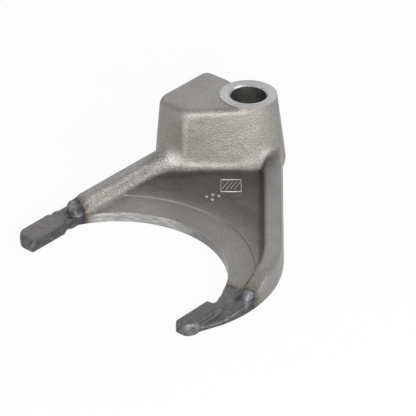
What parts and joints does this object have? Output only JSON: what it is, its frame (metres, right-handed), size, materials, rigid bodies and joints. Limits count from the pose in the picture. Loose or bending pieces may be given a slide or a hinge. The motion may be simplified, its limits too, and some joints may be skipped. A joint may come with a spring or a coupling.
{
  "type": "shift fork",
  "caption": "One-piece forged shift fork: bored hub with a tall selector block beside it, a rimmed web and two curved tines that end in machined pads.",
  "frame": {"origin": "on the axis of the rail bore, at the level of the machined lower faces of the hub and the pads", "axes": "+Z along the rail bore towards the ring face, -Y towards the tines, -X towards the selector block"},
  "size_m": [0.1557, 0.1957, 0.047],
  "materials": {
    "forged_steel": "shot-blasted forged steel with machined bore, ring face, opening and pads; the tine ends are heat-tinted"
  },
  "bodies": {
    "root": {"shift_fork": "forged_steel"}
  },
  "joints": []
}
